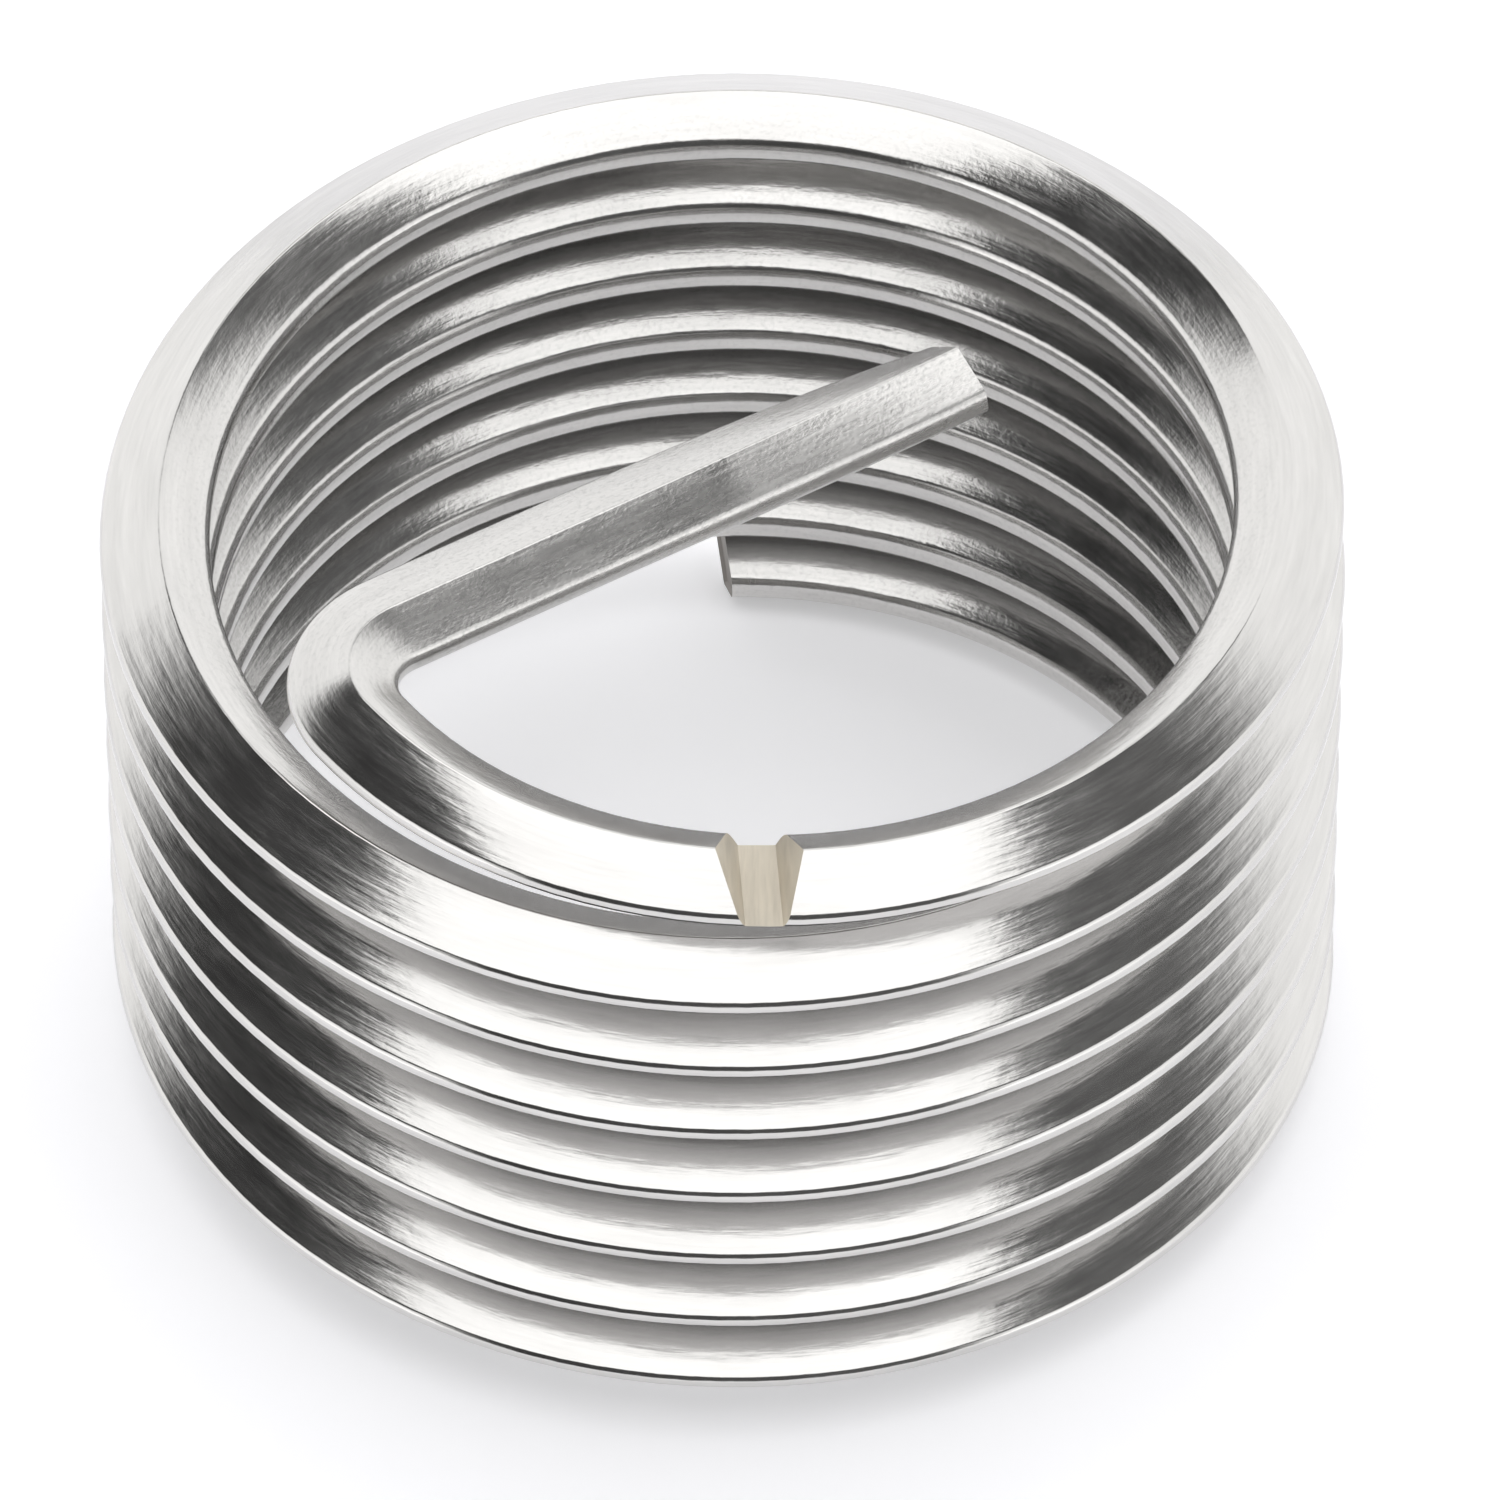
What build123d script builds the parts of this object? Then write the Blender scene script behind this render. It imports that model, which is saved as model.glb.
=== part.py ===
from build123d import *
import os
from math import atan2, cos, degrees, radians, sin, tan

# Helical wire thread insert for an M18 x 1.5 bolt, in mm, free, as it is before it is wound in.
# It is one length of rolled wire: a coil, a first turn drawn inward, a bend, and a straight
# driving tang that lies across the bore. The Z axis is the coil's axis, the tang end is up, and
# the origin is the middle of the base. Angles in plan run anticlockwise from +X. The wire climbs
# clockwise, which makes the coil left-handed.

# --- the coil ---
PITCH = 1.5
FREE_DIAMETER = 20.2  # over the outer crests, a little more than the tapped hole it goes into
COIL_TURNS = 7  # at the full diameter
COIL_PARTS = 3  # equal lengths that each turn is rolled in
WIRE_END_ANGLE = 90  # where the wire is sheared off at the base

# --- the wire's rhombic section ---
FLANK_ANGLE = 30  # of each flank from the radial direction, so 60 degrees between flanks
HALF_HEIGHT = 7 / 16 * PITCH  # centre line to the upper or lower corner
INNER_CREST = PITCH / 4  # width of the flat inside, which the bolt's thread root meets
OUTER_CREST = PITCH / 8  # width of the flat outside, in the tapped hole's root
CREST_STOCK = 0.08 * PITCH  # left on the coil's inner crest, then trimmed to the bore

# --- the drawn-in first turn, the bend and the tang, along the centre line ---
LEAD_SWEEP = 226  # plan angle from the end of the coil to the bend
LEAD_DRAW = 1.2  # how far the wire has come in by the bend
LEAD_EASE = 3.5  # power of the draw: higher keeps it to the last part of the turn
LEAD_STEPS = 16
BEND_RADIUS = 1.5
TANG_HEADING = 32
TANG_LENGTH = 10.8  # straight part, from the bend to the sheared tip

# --- the break-off notch, across the top of the wire ---
NOTCH_ANGLE = 274
NOTCH_FLOOR_WIDTH = 0.6
NOTCH_FLOOR_DROP = 0.1  # floor below the wire's centre line
NOTCH_WALL_ANGLE = 28  # of each wall from the vertical

# --- values that follow ---
FLANK_SLOPE = tan(radians(FLANK_ANGLE))
INNER_DEPTH = (HALF_HEIGHT - INNER_CREST / 2) / FLANK_SLOPE  # radially, from the corners
OUTER_DEPTH = (HALF_HEIGHT - OUTER_CREST / 2) / FLANK_SLOPE
CENTRE_RADIUS = FREE_DIAMETER / 2 - OUTER_DEPTH
BORE_RADIUS = CENTRE_RADIUS - INNER_DEPTH
COIL_RISE = COIL_TURNS * PITCH
COIL_END_ANGLE = WIRE_END_ANGLE - 360 * COIL_TURNS


def around(angle, radius, z=0.0):
    """The point at this plan angle and radius."""
    return Vector(radius * cos(radians(angle)), radius * sin(radians(angle)), z)


def section_at(point, angle, stock=0.0):
    """The wire's section, upright on the radial plane at this angle."""
    upper = [
        (OUTER_DEPTH, OUTER_CREST / 2),
        (0, HALF_HEIGHT),
        (-INNER_DEPTH - stock, INNER_CREST / 2 - stock * FLANK_SLOPE),
    ]
    lower = [(out, -up) for out, up in reversed(upper)]
    radial = Plane(origin=point, x_dir=around(angle, 1), z_dir=around(angle - 90, 1))
    return radial * make_face(Polyline(*upper, *lower, close=True))


def coil_line(turns):
    """Centre line of the coil, this many turns up from the sheared end at the base."""
    helix = Helix(PITCH, PITCH * turns, CENTRE_RADIUS, lefthand=True)
    return Pos(0, 0, HALF_HEIGHT) * Rotation(0, 0, WIRE_END_ANGLE) * helix


def coil_lengths():
    """The coil in equal lengths end to end, their inner crests trimmed to a true cylinder."""
    line = coil_line(1 / COIL_PARTS)
    rolled = sweep(section_at(line @ 0, WIRE_END_ANGLE, CREST_STOCK), line, is_frenet=True)
    trimmed = rolled.cut(Cylinder(BORE_RADIUS, 2 * COIL_RISE))
    step = Pos(0, 0, PITCH / COIL_PARTS) * Rotation(0, 0, -360 / COIL_PARTS)
    lengths = [trimmed]
    while len(lengths) < COIL_TURNS * COIL_PARTS:
        lengths.append(step * lengths[-1])
    return lengths


def lead_point(turned):
    """Centre line of the drawn-in turn, this many degrees past the end of the coil."""
    drawn = LEAD_DRAW * (turned / LEAD_SWEEP) ** LEAD_EASE
    height = HALF_HEIGHT + COIL_RISE + PITCH * turned / 360
    return around(COIL_END_ANGLE - turned, CENTRE_RADIUS - drawn, height)


def lead_heading():
    """Level direction of the drawn-in turn where it meets the bend."""
    angle = COIL_END_ANGLE - LEAD_SWEEP
    inward = LEAD_EASE * LEAD_DRAW / radians(LEAD_SWEEP)
    return around(angle - 90, CENTRE_RADIUS - LEAD_DRAW) - around(angle, inward)


def tang_line(coil_end, coil_heading):
    """Centre line of the drawn-in turn, the bend and the tang, as one smooth wire."""
    heading = lead_heading()
    steps = [lead_point(LEAD_SWEEP * k / LEAD_STEPS) for k in range(1, LEAD_STEPS + 1)]
    lead = Spline(coil_end, *steps, tangents=[coil_heading, heading.normalized()])
    bend_angle = degrees(atan2(heading.Y, heading.X)) - TANG_HEADING
    bend = JernArc(lead @ 1, lead % 1, BEND_RADIUS, -bend_angle)
    tang = Line(bend @ 1, (bend @ 1) + TANG_LENGTH * (bend % 1))
    return Wire([*lead.edges(), *bend.edges(), *tang.edges()])


def tang_wire(line):
    """The drawn-in turn, the bend and the tang, whose section stays upright all the way."""
    upright = line.moved(Pos(0, 0, PITCH))
    return sweep(section_at(line @ 0, COIL_END_ANGLE), line, binormal=upright)


def notch():
    """Cutter for the break-off notch, which narrows towards its floor."""
    floor_z = lead_point(COIL_END_ANGLE % 360 + 360 - NOTCH_ANGLE).Z - NOTCH_FLOOR_DROP
    floor_half = NOTCH_FLOOR_WIDTH / 2
    mouth_half = floor_half + PITCH * tan(radians(NOTCH_WALL_ANGLE))
    across = Plane(
        origin=around(NOTCH_ANGLE, CENTRE_RADIUS / 2, floor_z),
        x_dir=around(NOTCH_ANGLE + 90, 1),
        z_dir=around(NOTCH_ANGLE, 1),
    )
    outline = Polyline(
        (-floor_half, 0), (floor_half, 0), (mouth_half, PITCH), (-mouth_half, PITCH), close=True
    )
    return extrude(across * make_face(outline), FREE_DIAMETER)


def insert_wire():
    coil_end = coil_line(COIL_TURNS)
    tang = tang_wire(tang_line(coil_end @ 1, coil_end % 1))
    return tang.fuse(*coil_lengths()).cut(notch())


os.makedirs("parts", exist_ok=True)
export_step(insert_wire(), "parts/insert_wire.step")
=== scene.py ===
import math

import bmesh
import bpy
from mathutils import Matrix, Vector, noise


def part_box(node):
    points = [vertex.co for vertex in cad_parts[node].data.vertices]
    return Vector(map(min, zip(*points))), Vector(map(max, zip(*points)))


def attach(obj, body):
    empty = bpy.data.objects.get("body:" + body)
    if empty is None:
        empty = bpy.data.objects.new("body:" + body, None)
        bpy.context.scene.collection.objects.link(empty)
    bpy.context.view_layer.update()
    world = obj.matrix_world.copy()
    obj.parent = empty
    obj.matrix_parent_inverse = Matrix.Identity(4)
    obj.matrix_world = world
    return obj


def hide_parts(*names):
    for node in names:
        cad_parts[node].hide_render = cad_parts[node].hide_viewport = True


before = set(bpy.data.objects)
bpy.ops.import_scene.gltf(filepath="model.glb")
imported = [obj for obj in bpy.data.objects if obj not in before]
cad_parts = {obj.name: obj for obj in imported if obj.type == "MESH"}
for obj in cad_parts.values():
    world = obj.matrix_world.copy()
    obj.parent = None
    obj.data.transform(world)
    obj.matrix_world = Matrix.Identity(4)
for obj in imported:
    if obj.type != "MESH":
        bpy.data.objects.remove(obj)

bl_info = {
    "name": "Helical thread insert",
    "version": (1, 0, 0),
    "blender": (4, 5, 0),
    "location": "3D View > Sidebar > Insert",
    "description": "Helical thread insert of rolled steel wire, with its tang and notch",
    "category": "Object",
}

# The coil's axis is the Z axis, the tang end is up and the origin is the middle of the base.
# Angles in plan run anticlockwise from +X, and the wire climbs clockwise from its sheared end.

NODE = "insert_wire"
BODY = "root"
LOW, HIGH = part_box(NODE)
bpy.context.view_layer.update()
MM = 0.001
FULL_TURN = 2 * math.pi

TURN_STEPS = 120  # rings of the mesh in a full turn
BEND_STEPS = 28
TANG_STEPS = 24
CORNER_STEPS = 5
STRAY_STEPS = 37  # rings over which the winding strays one way and back
STRAY_PLACE = (3.1, 7.7)  # where the noise of the winding is read
STRAY_SEED = 5  # picks one of the possible windings
TOUCH = 1e-7  # metres: a point this near a plane lies on it
SHARP_ANGLE = math.radians(38)
WIRE_PLACE = "wire"  # attribute of each point: metres along, outward and up in the section
NOTCH_SLOT = 1  # material index of the notch's faces
END_SLOT = 2  # material index of the sheared ends


def length(name, description, default):
    return bpy.props.FloatProperty(
        name=name, description=description, default=default, unit="LENGTH", precision=5)


def angle(name, description, degrees):
    return bpy.props.FloatProperty(
        name=name, description=description, default=math.radians(degrees), subtype="ANGLE")


def colour(name, description, default):
    return bpy.props.FloatVectorProperty(
        name=name, description=description, default=default, subtype="COLOR", min=0, max=1)


class WireSizes(bpy.types.PropertyGroup):
    """The rolled wire and the path it is wound on."""
    pitch: length("Pitch", "Rise of the coil in one turn", 1.5 * MM)
    free_diameter: length("Free diameter", "Over the outer crests", HIGH.x - LOW.x)
    coil_turns: bpy.props.IntProperty(
        name="Coil turns", description="Turns at the full diameter", default=7, min=1)
    wire_end_angle: angle("Wire end", "Plan angle of the sheared end at the base", 90)
    flank_angle: angle("Flank angle", "Slope of each flank from the radial direction", 30)
    inner_round: length("Inner round", "Radius on both corners of the inner crest", 0.22 * MM)
    outer_round: length("Outer round", "Radius on both corners of the outer crest", 0.13 * MM)
    ridge_round: length("Ridge round", "Radius on the upper and lower corners", 0.06 * MM)
    lead_sweep: angle("Lead sweep", "Plan angle from the end of the coil to the bend", 226)
    lead_draw: length("Lead draw", "How far the wire has come in by the bend", 1.2 * MM)
    lead_ease: bpy.props.FloatProperty(
        name="Lead ease", description="Power of the draw, higher for a later one", default=3.5)
    bend_radius: length("Bend radius", "At the wire's centre line", 1.5 * MM)
    tang_heading: angle("Tang heading", "Plan direction of the tang", 32)
    tang_length: length("Tang length", "Straight part, from the bend to the tip", 10.8 * MM)
    tang_roll: angle("Tang roll", "How far the bend has rolled the tang's inner side down", 9)
    tip_roll: angle("Tip roll", "The same at the tang's tip, which has twisted back", -11)
    tip_drop: length("Tip drop", "How far the tang bows down towards its tip", 0.18 * MM)
    end_slant: angle("End slant", "How far the cut at the base is turned towards the bore", 10)
    end_break: length("End break", "Bevel round the rims of both ends", 0.06 * MM)
    unevenness: length("Unevenness", "How far the winding strays from a true helix", 0.012 * MM)


class NotchSizes(bpy.types.PropertyGroup):
    """The break-off notch across the top of the wire."""
    plan_angle: angle("Plan angle", "Where the notch crosses the wire", 274)
    floor_width: length("Floor width", "Width of the notch at its floor", 0.6 * MM)
    floor_drop: length("Floor drop", "Floor below the wire's centre line", 0.1 * MM)
    wall_angle: angle("Wall angle", "Of each wall from the vertical", 28)


class InsertFinish(bpy.types.PropertyGroup):
    """Colours of the steel and of the ground it stands on."""
    steel: colour("Steel", "Rolled stainless steel", (0.68, 0.67, 0.655))
    notched: colour("Notched steel", "Faces of the notch", (0.71, 0.65, 0.545))
    # partly real cut steel, partly painted shade: the ends are far darker than the notch's cut,
    # standing in for the shade they lie in
    sheared: colour("Sheared steel in painted shade", "Faces of both ends", (0.30, 0.28, 0.26))
    ground: colour("Ground", "Floor under the insert", (0.92, 0.92, 0.95))


def wire_sizes():
    return bpy.context.scene.insert_wire_sizes


def notch_sizes():
    return bpy.context.scene.insert_notch_sizes


def finish_colours():
    return bpy.context.scene.insert_finish


# --- the wire's path ---

def around(plan_angle, radius, z=0.0):
    """The point at this plan angle and radius."""
    return Vector((radius * math.cos(plan_angle), radius * math.sin(plan_angle), z))


def half_height(sizes):
    """Centre line to the upper or lower corner of the section."""
    return 7 / 16 * sizes.pitch


def half_flats(sizes):
    """Half the width of the inner crest, and of the outer crest."""
    return sizes.pitch / 8, sizes.pitch / 16


def section_depths(sizes):
    """From the corners inward to the inner crest, and outward to the outer crest."""
    slope = math.tan(sizes.flank_angle)
    return [(half_height(sizes) - half_flat) / slope for half_flat in half_flats(sizes)]


def centre_radius(sizes):
    return sizes.free_diameter / 2 - section_depths(sizes)[1]


def coil_angle(sizes):
    """Plan angle that the coil turns through at its full diameter."""
    return FULL_TURN * sizes.coil_turns


def wound_point(sizes, turned):
    """Centre line this far round, on the coil and then on the drawn-in turn."""
    past_coil = max(0.0, turned - coil_angle(sizes))
    drawn = sizes.lead_draw * (past_coil / sizes.lead_sweep) ** sizes.lead_ease
    height = half_height(sizes) + sizes.pitch * turned / FULL_TURN
    return around(sizes.wire_end_angle - turned, centre_radius(sizes) - drawn, height)


def wound_stations(sizes):
    """Centre line points and plan headings of the coil and the drawn-in turn."""
    whole = coil_angle(sizes) + sizes.lead_sweep
    count = round(TURN_STEPS * whole / FULL_TURN)
    tenth = whole / count / 10
    stations = []
    for k in range(count + 1):
        turned = whole * k / count
        ahead = wound_point(sizes, turned + tenth) - wound_point(sizes, turned - tenth)
        stations.append((wound_point(sizes, turned), math.atan2(ahead.y, ahead.x)))
    return stations


def shares(steps):
    """Even shares of a length, from the first step up to 1."""
    return [k / steps for k in range(1, steps + 1)]


def bend_stations(sizes, start, heading):
    """The tight bend towards the middle, which turns clockwise in plan."""
    turn = (heading - sizes.tang_heading) % FULL_TURN
    left = math.pi / 2
    centre = start - around(heading + left, sizes.bend_radius)
    headings = [heading - turn * share for share in shares(BEND_STEPS)]
    return [(centre + around(now + left, sizes.bend_radius), now) for now in headings]


def tang_stations(sizes, start):
    """The tang, which bows down slightly towards its tip."""
    whole = around(sizes.tang_heading, sizes.tang_length)
    drop = Vector((0, 0, sizes.tip_drop))
    return [(start + whole * share - drop * share ** 2, sizes.tang_heading)
            for share in shares(TANG_STEPS)]


def wound_length(sizes):
    """Length of wire up to the bend."""
    points = [point for point, heading in wound_stations(sizes)]
    return sum((after - before).length for before, after in zip(points, points[1:]))


def strayed(sizes, stations):
    """The same stations, with the small unevenness of a wound coil, which never strays outward.

    It sets in over the first turn and dies away over the last, so both ends keep their place."""
    noise.seed_set(STRAY_SEED)
    uneven = []
    for k, (point, heading) in enumerate(stations):
        hold = min(1.0, k / TURN_STEPS, (len(stations) - 1 - k) / TURN_STEPS)
        drawn = noise.noise_vector(Vector((k / STRAY_STEPS, *STRAY_PLACE)))
        stray = drawn * sizes.unevenness * hold
        inward = -abs(stray.x) * point.to_2d().to_3d().normalized()
        uneven.append((point + inward + Vector((0, 0, stray.z)), heading))
    return uneven


def placed(point, heading, roll):
    """Places the section, drawn with its outer side towards -X and its top towards +Z."""
    turned = Matrix.Rotation(heading - math.pi / 2, 4, "Z") @ Matrix.Rotation(roll, 4, "Y")
    return Matrix.Translation(point) @ turned


def wire_stations(sizes):
    """Places of the section along the whole wire.

    The bend rolls the section as it turns, the tang twists back towards its tip, and the first
    place is turned for the slanted cut at the base."""
    wound = wound_stations(sizes)
    bend = bend_stations(sizes, *wound[-1])
    tang = tang_stations(sizes, bend[-1][0])
    twist = sizes.tip_roll - sizes.tang_roll
    rolls = [0.0] * len(wound)
    rolls += [sizes.tang_roll * share for share in shares(BEND_STEPS)]
    rolls += [sizes.tang_roll + twist * share ** 3 for share in shares(TANG_STEPS)]
    path = strayed(sizes, wound + bend + tang)
    path[0] = (path[0][0], path[0][1] + sizes.end_slant)
    return [placed(point, heading, roll) for (point, heading), roll in zip(path, rolls)]


# --- the wire's mesh ---

def draw_section(bm, sizes):
    """The rhombic section with rounded corners, as a closed ring of edges."""
    inner, outer = section_depths(sizes)
    inner_half, outer_half = half_flats(sizes)
    high = half_height(sizes)
    crest_turn = math.pi / 2 - sizes.flank_angle
    outer_cut = sizes.outer_round * math.tan(crest_turn / 2)
    inner_cut = sizes.inner_round * math.tan(crest_turn / 2)
    ridge_cut = sizes.ridge_round * math.tan(sizes.flank_angle)
    corners = [(outer, -outer_half, outer_cut), (outer, outer_half, outer_cut),
               (0, high, ridge_cut), (-inner, inner_half, inner_cut),
               (-inner, -inner_half, inner_cut), (0, -high, ridge_cut)]
    verts = [bm.verts.new((-out, 0, up)) for out, up, cut in corners]
    bm.faces.new(verts)
    for vert, (out, up, cut) in zip(verts, corners):
        bmesh.ops.bevel(bm, geom=[vert], offset=cut, segments=CORNER_STEPS, profile=0.5,
                        affect="VERTICES", material=-1)
    bmesh.ops.delete(bm, geom=bm.faces[:], context="FACES_ONLY")
    return bm.edges[:]


def each_once(elements):
    """The elements in their order, each once."""
    return list(dict.fromkeys(elements))


def made_of(geometry, kind):
    return [element for element in geometry if isinstance(element, kind)]


def sweep_section(bm, edges, stations, place):
    """Extrudes the ring of edges from station to station. Returns the last ring's edges."""
    along = 0.0
    for before, after in zip(stations, stations[1:]):
        made = bmesh.ops.extrude_edge_only(bm, edges=edges)["geom"]
        verts = made_of(made, bmesh.types.BMVert)
        bmesh.ops.transform(bm, matrix=after @ before.inverted(), verts=verts)
        along += (after.translation - before.translation).length
        for vert in verts:
            vert[place].x = along
        ring = set(verts)
        edges = [edge for edge in made_of(made, bmesh.types.BMEdge) if ring.issuperset(edge.verts)]
    return edges


def swept_wire(sizes):
    """The whole wire as a closed mesh, with a sheared face at each end."""
    bm = bmesh.new()
    place = bm.verts.layers.float_vector.new(WIRE_PLACE)
    stations = wire_stations(sizes)
    start = draw_section(bm, sizes)
    for vert in bm.verts:
        vert[place] = (0.0, -vert.co.x, vert.co.z)
    bmesh.ops.transform(bm, matrix=stations[0], verts=bm.verts[:])
    end = sweep_section(bm, start, stations, place)
    close_end(bm, start, -stations[0].col[1].xyz, sizes.end_break)
    close_end(bm, end, stations[-1].col[1].xyz, sizes.end_break)
    bmesh.ops.recalc_face_normals(bm, faces=bm.faces[:])
    return bm


def close_end(bm, rim, away, end_break):
    """Closes the wire's end with a sheared face whose rim is broken, and which faces away."""
    rim_verts = each_once(vert for edge in rim for vert in edge.verts)
    cap = bmesh.ops.contextual_create(bm, geom=rim)["faces"]
    broken = bmesh.ops.inset_region(bm, faces=cap, thickness=end_break, use_even_offset=True)
    for face in cap + broken["faces"]:
        face.material_index = END_SLOT
    bmesh.ops.translate(bm, verts=rim_verts, vec=-end_break * away)


class Plane:
    """A cutting plane: a point on it, and the direction of the metal that is cut away."""

    def __init__(self, point, away):
        self.point, self.away = point, away

    def height(self, place):
        """How far the place stands out on the side that is cut away."""
        return (place - self.point).dot(self.away)


def notch_planes(sizes, notch):
    """The floor and the two walls of the notch."""
    turned = coil_angle(sizes) + (sizes.wire_end_angle - notch.plan_angle) % FULL_TURN
    middle = wound_point(sizes, turned) - Vector((0, 0, notch.floor_drop))
    up = Vector((0, 0, 1))
    across = around(notch.plan_angle + math.pi / 2, 1)
    planes = [Plane(middle, up)]
    for side in (-1, 1):
        foot = middle + side * across * notch.floor_width / 2
        away = -side * across * math.cos(notch.wall_angle) + up * math.sin(notch.wall_angle)
        planes.append(Plane(foot, away))
    return planes


def near_notch(bm, planes, sizes):
    """The faces of the wire's last full turn that lie around the notch."""
    middle = planes[0].point
    reach = sizes.pitch
    return [face for face in bm.faces
            if (face.calc_center_median() - middle).length < reach
            and face.calc_center_median().z > middle.z - half_height(sizes)]


def cut_notch(bm, sizes, notch):
    """Cuts the break-off notch from the top of the drawn-in turn and closes its faces."""
    planes = notch_planes(sizes, notch)
    for plane in planes:
        faces = near_notch(bm, planes, sizes)
        edges = each_once(edge for face in faces for edge in face.edges)
        verts = each_once(vert for face in faces for vert in face.verts)
        bmesh.ops.bisect_plane(bm, geom=[*faces, *edges, *verts], dist=TOUCH,
                               plane_co=plane.point, plane_no=plane.away)
    faces = near_notch(bm, planes, sizes)
    cut = [face for face in faces
           if all(plane.height(face.calc_center_median()) > 0 for plane in planes)]
    bmesh.ops.delete(bm, geom=cut, context="FACES")
    rim = [edge for edge in bm.edges if edge.is_boundary]
    floor, *walls = planes
    for wall in walls:
        lying = on_plane(rim, wall)
        ends = [vert for vert in each_once(v for edge in lying for v in edge.verts)
                if sum(vert in edge.verts for edge in lying) == 1]
        foot = bm.edges.new(ends)
        close_face(bm, [*lying, foot])
        rim.append(foot)
    close_face(bm, on_plane(rim, floor))


def on_plane(edges, plane):
    """The edges whose two ends lie on the plane."""
    return [edge for edge in edges
            if all(abs(plane.height(vert.co)) < 10 * TOUCH for vert in edge.verts)]


def close_face(bm, edges):
    """Fills the ring of edges with a face of the notch."""
    for face in bmesh.ops.contextual_create(bm, geom=edges)["faces"]:
        face.material_index = NOTCH_SLOT


def finished_object(bm, name, materials):
    """Links the mesh as an object, smooth but with its flats flat up to their rounded corners."""
    mesh = bpy.data.meshes.new(name)
    bm.to_mesh(mesh)
    bm.free()
    mesh.shade_smooth()
    mesh.set_sharp_from_angle(angle=SHARP_ANGLE)
    for material in materials:
        mesh.materials.append(material)
    piece = bpy.data.objects.new(name, mesh)
    bpy.context.scene.collection.objects.link(piece)
    flats = piece.modifiers.new("flats", "WEIGHTED_NORMAL")
    flats.keep_sharp = True
    flats.weight = 100
    return piece


# --- materials ---

class Value:
    """A socket in a node tree, with arithmetic that adds Math nodes."""

    def __init__(self, tree, socket):
        self.tree, self.socket = tree, socket

    def math(self, operation, *others, clamp=False):
        node = self.tree.nodes.new("ShaderNodeMath")
        node.operation, node.use_clamp = operation, clamp
        for slot, value in zip(node.inputs, (self, *others)):
            connect(self.tree, slot, value)
        return Value(self.tree, node.outputs[0])

    def __add__(self, other):
        return self.math("ADD", other)

    def __sub__(self, other):
        return self.math("SUBTRACT", other)

    def __mul__(self, other):
        return self.math("MULTIPLY", other)

    def __rsub__(self, other):
        return (self * -1.0) + other

    __radd__ = __add__
    __rmul__ = __mul__

    def between(self, low, high):
        """0 at low, 1 at high, straight between and held outside."""
        return ((self - low) * (1 / (high - low))).math("ADD", 0.0, clamp=True)


def connect(tree, slot, value):
    """Links a Value or a socket to an input, or sets the input to a number or a tuple."""
    if isinstance(value, Value):
        value = value.socket
    if isinstance(value, bpy.types.NodeSocket):
        tree.links.new(value, slot)
    else:
        slot.default_value = value


def add_node(tree, kind, settings=None, **inputs):
    """Makes a node, applies its settings, then sets or links the inputs by name."""
    node = tree.nodes.new(kind)
    for name, value in (settings or {}).items():
        setattr(node, name, value)
    for name, value in inputs.items():
        connect(tree, node.inputs[name.replace("_", " ")], value)
    return node


def new_material(name):
    material = bpy.data.materials.new(name)
    material.use_nodes = True
    tree = material.node_tree
    return material, tree, tree.nodes["Principled BSDF"]


def mix_colour(tree, share, low, high):
    node = add_node(tree, "ShaderNodeMix", {"data_type": "RGBA"})
    connect(tree, node.inputs["Factor"], share)
    connect(tree, node.inputs[6], (*low, 1.0))
    connect(tree, node.inputs[7], (*high, 1.0))
    return node.outputs[2]


def shade_of(rgb, share):
    return tuple(channel * share for channel in rgb)


def streaks(tree, along_scale, across_scale, detail):
    """Noise stretched along the wire, with scales in cycles a metre."""
    place = add_node(tree, "ShaderNodeAttribute", {"attribute_name": WIRE_PLACE})
    scaled = add_node(tree, "ShaderNodeVectorMath", {"operation": "MULTIPLY"})
    connect(tree, scaled.inputs[0], place.outputs["Vector"])
    connect(tree, scaled.inputs[1], (along_scale, across_scale, across_scale))
    made = add_node(tree, "ShaderNodeTexNoise", Scale=1.0, Detail=detail, Vector=scaled.outputs[0])
    return Value(tree, made.outputs["Fac"])


# Noises of the rolled steel: cycles a metre along the wire and across it, and detail.
FINE = (1200.0, 13000.0, 3.0)
BROAD = (380.0, 2600.0, 2.0)
CLOUDS = (1300.0, 2000.0, 4.0)
GRAIN = (11000.0, 15000.0, 2.0)

# Where a look sets in on the wire: it is nil at the first place and full at the second.
INNER_SIDE = (0.1 * MM, -0.4 * MM)  # outward in the section
DEEP_GROOVE = (0.55 * MM, 0.15 * MM)  # painted shade deep in the groove: outward or inward from the corners
BEHIND_NOSE = (-0.76 * MM, -0.66 * MM)  # painted shade on the inner flank: outward, from the rounded inner crest
PRESSED = (-1.0 * MM, 3.0 * MM)  # along, from the start of the bend
UNDER_A_TURN = (1.0 * MM, -1.0 * MM)  # painted groove shade: along, from where the last turn stops covering it

DARK_STREAK_AND_PAINTED_SHADE = 0.36  # darkest streaks, and the darkest painted shade in the grooves, as a share of the steel's colour
NOISE_RANGE = (0.3, 0.7)  # where nearly all of a noise lies
GRAIN_RANGE = (0.5, 0.7)
STREAK_TONE = 0.22  # how much each darkens the steel
GRAIN_TONE = 0.2
# the grooves' darkening is painted shade
GROOVE_PAINTED_SHADE = 0.9
INNER_FLANK_PAINTED_SHADE = 0.25  # painted shade on the inner flank, as a share of the deep groove's
INNER_GRAIN = 0.5  # grain inside the coil, as a share of the tang's

POLISH = 0.05  # roughness of the smoothest steel
DULLING = 0.10  # what the fine streaks, the clouds and the press each add to it
INNER_DULLING = 0.02
FINE_RELIEF = 0.25  # heights of the noises, as shares of the relief
BROAD_RELIEF = 0.5
CLOUD_RELIEF = 0.5
GRAIN_RELIEF = 0.35
RELIEF = 0.03 * MM


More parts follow.
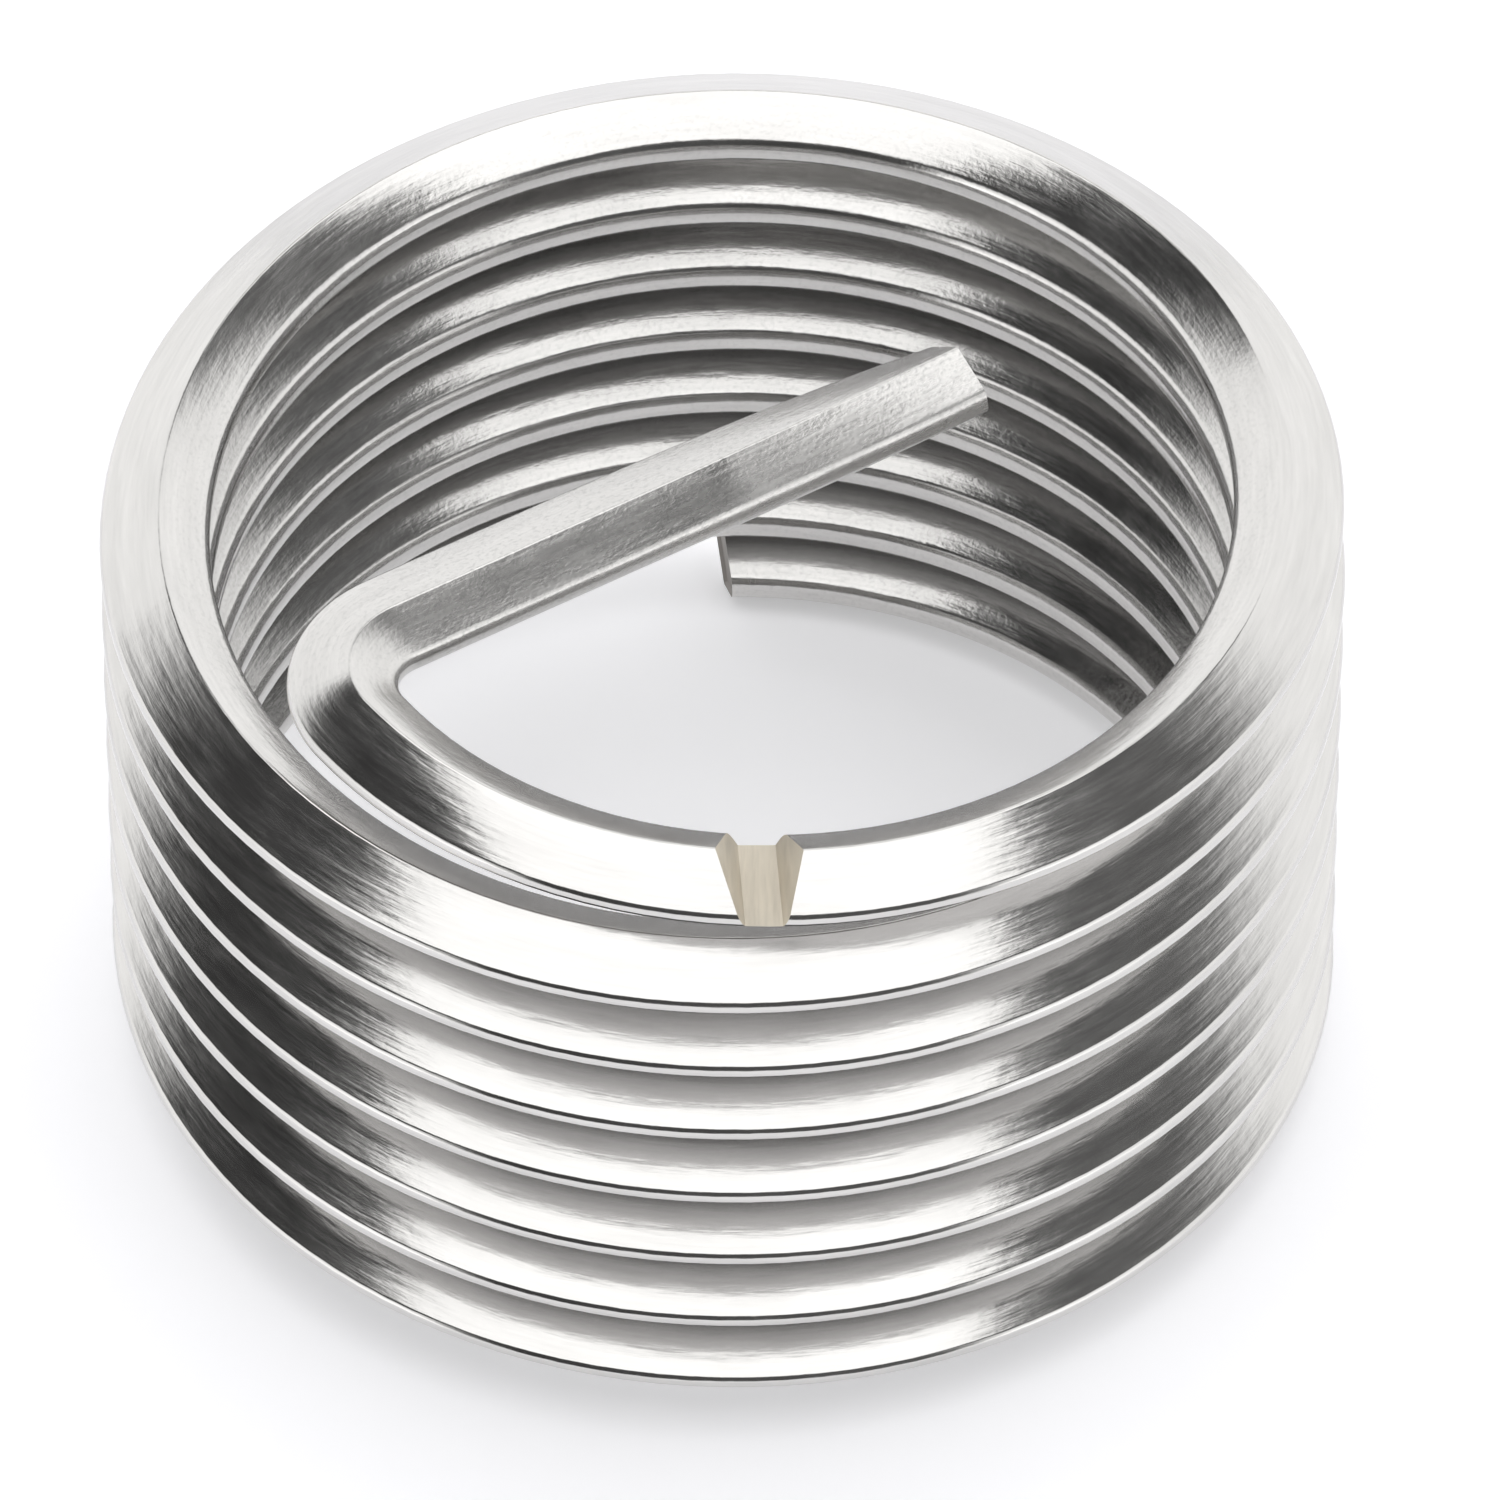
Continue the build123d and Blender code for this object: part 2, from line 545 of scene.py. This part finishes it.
def rolled_steel(steel, grooves_to, tang_from):
    """Bright rolled steel, streaked along the wire, grainy inside the coil and frosted on the tang.

    Up to grooves_to along the wire, a turn lies over it, and there the sides deep between the turns
    get painted shade, a darker base colour; so does the inner flank behind the crest."""
    material, tree, shader = new_material("rolled steel")
    shader.inputs["Metallic"].default_value = 1.0
    shader.inputs["Anisotropic"].default_value = 0.5
    shader.inputs["Anisotropic Rotation"].default_value = 0.25
    fine, broad, clouds, grain = (streaks(tree, *made) for made in (FINE, BROAD, CLOUDS, GRAIN))
    place = add_node(tree, "ShaderNodeAttribute", {"attribute_name": WIRE_PLACE})
    split = add_node(tree, "ShaderNodeSeparateXYZ", Vector=place.outputs["Vector"])
    along, outward = Value(tree, split.outputs["X"]), Value(tree, split.outputs["Y"])
    inward = outward.between(*INNER_SIDE)
    pressed = along.between(*(tang_from + edge for edge in PRESSED))
    # painted shade: base colour darkened deep in the grooves between the turns, and on the inner
    # flank behind the crest
    painted_groove_shade = outward.math("ABSOLUTE").between(*DEEP_GROOVE)
    # painted shade on the inner flank behind the rounded crest
    inner_flank_shade = inward * outward.between(*BEHIND_NOSE)
    painted_groove_shade = painted_groove_shade.math("MAXIMUM", inner_flank_shade * INNER_FLANK_PAINTED_SHADE)
    painted_groove_shade = painted_groove_shade * along.between(*(grooves_to + edge for edge in UNDER_A_TURN))
    rough = (inward * INNER_GRAIN).math("MAXIMUM", pressed)
    tone_and_painted_shade = (fine * 0.5 + broad * 0.5).between(*NOISE_RANGE) * STREAK_TONE + (1 - STREAK_TONE)
    # the painted shade comes off the base colour here, together with the real streaks and grain
    tone_and_painted_shade = tone_and_painted_shade - grain.between(*GRAIN_RANGE) * rough * GRAIN_TONE - painted_groove_shade * GROOVE_PAINTED_SHADE
    connect(tree, shader.inputs["Base Color"],
            mix_colour(tree, tone_and_painted_shade.math("ADD", 0.0, clamp=True), shade_of(steel, DARK_STREAK_AND_PAINTED_SHADE), steel))
    connect(tree, shader.inputs["Roughness"],
            fine * DULLING + clouds * DULLING + pressed * DULLING + inward * INNER_DULLING + POLISH)
    height = fine * FINE_RELIEF + broad * BROAD_RELIEF + clouds * CLOUD_RELIEF
    height = height + grain * rough * GRAIN_RELIEF
    bump = add_node(tree, "ShaderNodeBump", Strength=0.35, Distance=RELIEF, Height=height)
    connect(tree, shader.inputs["Normal"], bump.outputs["Normal"])
    return material


CUT_SCORES = (9000.0, 900.0, 2500.0)  # cycles a metre along X, Y and Z
CUT_SHADE = 0.8  # darkest scores, as a share of the cut's colour
CUT_METALLIC = 0.35
CUT_ROUGHNESS = 0.42
SCORE_ROUGHNESS = 0.2


def cut_steel(name, colour_of_cut):
    """Dull faces left by the punch or the shears, with scores across the wire."""
    material, tree, shader = new_material(name)
    shader.inputs["Metallic"].default_value = CUT_METALLIC
    place = add_node(tree, "ShaderNodeTexCoord")
    scaled = add_node(tree, "ShaderNodeMapping", {"vector_type": "POINT"},
                      Vector=place.outputs["Object"], Scale=CUT_SCORES)
    made = add_node(tree, "ShaderNodeTexNoise", Scale=1.0, Detail=3.0,
                    Vector=scaled.outputs["Vector"])
    scores = Value(tree, made.outputs["Fac"])
    scored = shade_of(colour_of_cut, CUT_SHADE)
    connect(tree, shader.inputs["Base Color"],
            mix_colour(tree, scores.between(*NOISE_RANGE), scored, colour_of_cut))
    connect(tree, shader.inputs["Roughness"], scores * SCORE_ROUGHNESS + CUT_ROUGHNESS)
    bump = add_node(tree, "ShaderNodeBump", Strength=0.4, Distance=RELIEF, Height=scores)
    connect(tree, shader.inputs["Normal"], bump.outputs["Normal"])
    return material


# --- stage ---

# Sizes in metres. Directions are unit vectors from the insert: X to the right, Y to the back.
FLOOR_SIZE = 3.0
GROUND_ROUGHNESS = 0.9
GROUND_LIFT = 0.33  # its own light, to the eye and in the metal

CAMERA_DISTANCE = 0.320
CAMERA_ELEVATION = math.radians(46.98)
CAMERA_NEAR = 0.01
FRAME_WIDTH = 24.53 * MM
AIM_HEIGHT = 6.4 * MM
AIM_RIGHT = 0.44 * MM
AIM_DOWN = 0.51 * MM
SENSOR = 36.0

SOFTBOX_HEIGHT = 0.50
SOFTBOX_LEFT = 0.57  # edges, as shares of its height
SOFTBOX_RIGHT = 0.55
SOFTBOX_NEAR = 0.62
SOFTBOX_FAR = 0.60
SOFTBOX_RADIANCE = 1.6

# Each pair of edges gives where a part of the room is nil and where it is full.
WALL = 1.25
WALL_TOP = (0.65, 0.54)  # in the upward part of the direction
WALL_RISE_RIGHT = 0.05  # how much higher the walls end to the right
WALL_RISE_BACK = 0.2  # and at the back
WALL_BACK = (0.5, 0.65)  # in the backward part of the direction
DARK_SIDE = (0.0, -0.94, 0.342)  # towards the dark part of the room, behind the camera
DARK_EDGE = (0.68, 0.80)  # in the cosine of the angle to the dark side
GLARE = 0.7  # more on the walls to both sides of the camera
GLARE_EDGE = (0.2, 0.6)  # in the same cosine
GLARE_TOP = (0.45, 0.1)
CEILING = 0.09
CEILING_RIGHT = 0.07  # more of it to the right


def pale_ground(ground):
    """Matt pale floor that reads nearly white to the eye and in the metal, under its shadow."""
    material, tree, shader = new_material("pale ground")
    shader.inputs["Base Color"].default_value = (*ground, 1.0)
    shader.inputs["Roughness"].default_value = GROUND_ROUGHNESS
    shader.inputs["Specular IOR Level"].default_value = 0.0
    path = add_node(tree, "ShaderNodeLightPath")
    seen = Value(tree, path.outputs["Is Camera Ray"])
    seen = seen.math("MAXIMUM", Value(tree, path.outputs["Is Glossy Ray"]))
    seen = seen.math("MAXIMUM", Value(tree, path.outputs["Is Transmission Ray"]))
    connect(tree, shader.inputs["Emission Color"], seen * GROUND_LIFT)
    shader.inputs["Emission Strength"].default_value = 1.0
    return material


def add_camera():
    """Looks down at the insert from the front."""
    back = Vector((0, -math.cos(CAMERA_ELEVATION), math.sin(CAMERA_ELEVATION)))
    down = Vector((0, -math.sin(CAMERA_ELEVATION), -math.cos(CAMERA_ELEVATION)))
    target = Vector((AIM_RIGHT, 0, AIM_HEIGHT)) + down * AIM_DOWN
    data = bpy.data.cameras.new("camera")
    data.sensor_width = SENSOR
    data.lens = SENSOR * CAMERA_DISTANCE / FRAME_WIDTH
    data.clip_start = CAMERA_NEAR
    camera = bpy.data.objects.new("camera", data)
    camera.location = target + back * CAMERA_DISTANCE
    camera.rotation_euler = (math.pi / 2 - CAMERA_ELEVATION, 0, 0)
    bpy.context.scene.collection.objects.link(camera)
    bpy.context.scene.camera = camera


def add_softbox():
    """The wide lamp overhead, whose edges show in the flanks."""
    width = (SOFTBOX_LEFT + SOFTBOX_RIGHT) * SOFTBOX_HEIGHT
    depth = (SOFTBOX_NEAR + SOFTBOX_FAR) * SOFTBOX_HEIGHT
    data = bpy.data.lights.new("softbox", "AREA")
    data.shape = "RECTANGLE"
    data.size, data.size_y = width, depth
    data.energy = SOFTBOX_RADIANCE * math.pi * width * depth
    lamp = bpy.data.objects.new("softbox", data)
    lamp.location = ((SOFTBOX_RIGHT - SOFTBOX_LEFT) / 2 * SOFTBOX_HEIGHT,
                     (SOFTBOX_FAR - SOFTBOX_NEAR) / 2 * SOFTBOX_HEIGHT, SOFTBOX_HEIGHT)
    bpy.context.scene.collection.objects.link(lamp)


def add_sky():
    """A room with pale walls, a dark ceiling around the softbox and a dark patch in front."""
    world = bpy.data.worlds.new("studio")
    bpy.context.scene.world = world
    world.use_nodes = True
    tree = world.node_tree
    place = add_node(tree, "ShaderNodeTexCoord").outputs["Generated"]
    split = add_node(tree, "ShaderNodeSeparateXYZ", Vector=place)
    right, back, rise = (Value(tree, split.outputs[axis]) for axis in "XYZ")
    facing = add_node(tree, "ShaderNodeVectorMath", {"operation": "DOT_PRODUCT"})
    connect(tree, facing.inputs[0], place)
    connect(tree, facing.inputs[1], DARK_SIDE)
    to_dark = Value(tree, facing.outputs["Value"])
    above = rise - right * WALL_RISE_RIGHT - back.between(*WALL_BACK) * WALL_RISE_BACK
    walls = above.between(*WALL_TOP) * (1 - to_dark.between(*DARK_EDGE))
    ceiling = right * CEILING_RIGHT + CEILING
    glare = to_dark.between(*GLARE_EDGE) * rise.between(*GLARE_TOP)
    level = walls * (glare * GLARE + WALL - ceiling) + ceiling
    connect(tree, tree.nodes["Background"].inputs["Color"], level)


def add_floor(ground):
    """Lays the floor at the level of the insert's base."""
    bm = bmesh.new()
    bmesh.ops.create_grid(bm, x_segments=1, y_segments=1, size=FLOOR_SIZE / 2)
    bmesh.ops.translate(bm, vec=(0, 0, LOW.z), verts=bm.verts[:])
    mesh = bpy.data.meshes.new("floor")
    bm.to_mesh(mesh)
    bm.free()
    mesh.materials.append(pale_ground(ground))
    floor = bpy.data.objects.new("floor", mesh)
    bpy.context.scene.collection.objects.link(floor)


# --- operators ---

class INSERT_OT_wire(bpy.types.Operator):
    """Makes the wire of the insert, with its notch, from the wire and notch sizes"""
    bl_idname = "insert.wire"
    bl_label = "Make the wire"

    def execute(self, context):
        sizes, colours = wire_sizes(), finish_colours()
        bm = swept_wire(sizes)
        cut_notch(bm, sizes, notch_sizes())
        tang_from = wound_length(sizes)
        grooves_to = tang_from - (FULL_TURN + sizes.lead_sweep) * centre_radius(sizes)
        materials = [rolled_steel(colours.steel, grooves_to, tang_from),
                     cut_steel("notched steel", colours.notched),
                     # the ends' dark colour is painted shade
                     cut_steel("sheared steel in painted shade", colours.sheared)]
        piece = finished_object(bm, "rolled_wire", materials)
        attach(piece, BODY)
        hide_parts(NODE)
        return {"FINISHED"}


class INSERT_OT_stage(bpy.types.Operator):
    """Makes the floor, the studio light and the camera"""
    bl_idname = "insert.stage"
    bl_label = "Make the stage"

    def execute(self, context):
        context.scene.view_settings.view_transform = "Standard"
        add_floor(finish_colours().ground)
        add_sky()
        add_softbox()
        add_camera()
        return {"FINISHED"}


class INSERT_PT_panel(bpy.types.Panel):
    """Sizes, colours and operators of the insert"""
    bl_idname = "INSERT_PT_panel"
    bl_label = "Thread insert"
    bl_space_type = "VIEW_3D"
    bl_region_type = "UI"
    bl_category = "Insert"

    def draw(self, context):
        scene = context.scene
        for group in (scene.insert_wire_sizes, scene.insert_notch_sizes, scene.insert_finish):
            box = self.layout.box()
            for name in group.__annotations__:
                box.prop(group, name)
        for operator in (INSERT_OT_wire, INSERT_OT_stage):
            self.layout.operator(operator.bl_idname)


GROUPS = {
    "insert_wire_sizes": WireSizes,
    "insert_notch_sizes": NotchSizes,
    "insert_finish": InsertFinish,
}
CLASSES = (*GROUPS.values(), INSERT_OT_wire, INSERT_OT_stage, INSERT_PT_panel)


def register():
    for kind in CLASSES:
        bpy.utils.register_class(kind)
    for name, group in GROUPS.items():
        setattr(bpy.types.Scene, name, bpy.props.PointerProperty(type=group))


def unregister():
    for name in GROUPS:
        delattr(bpy.types.Scene, name)
    for kind in reversed(CLASSES):
        bpy.utils.unregister_class(kind)


def main():
    register()
    bpy.ops.insert.stage()
    bpy.ops.insert.wire()


if __name__ == "__main__":
    main()
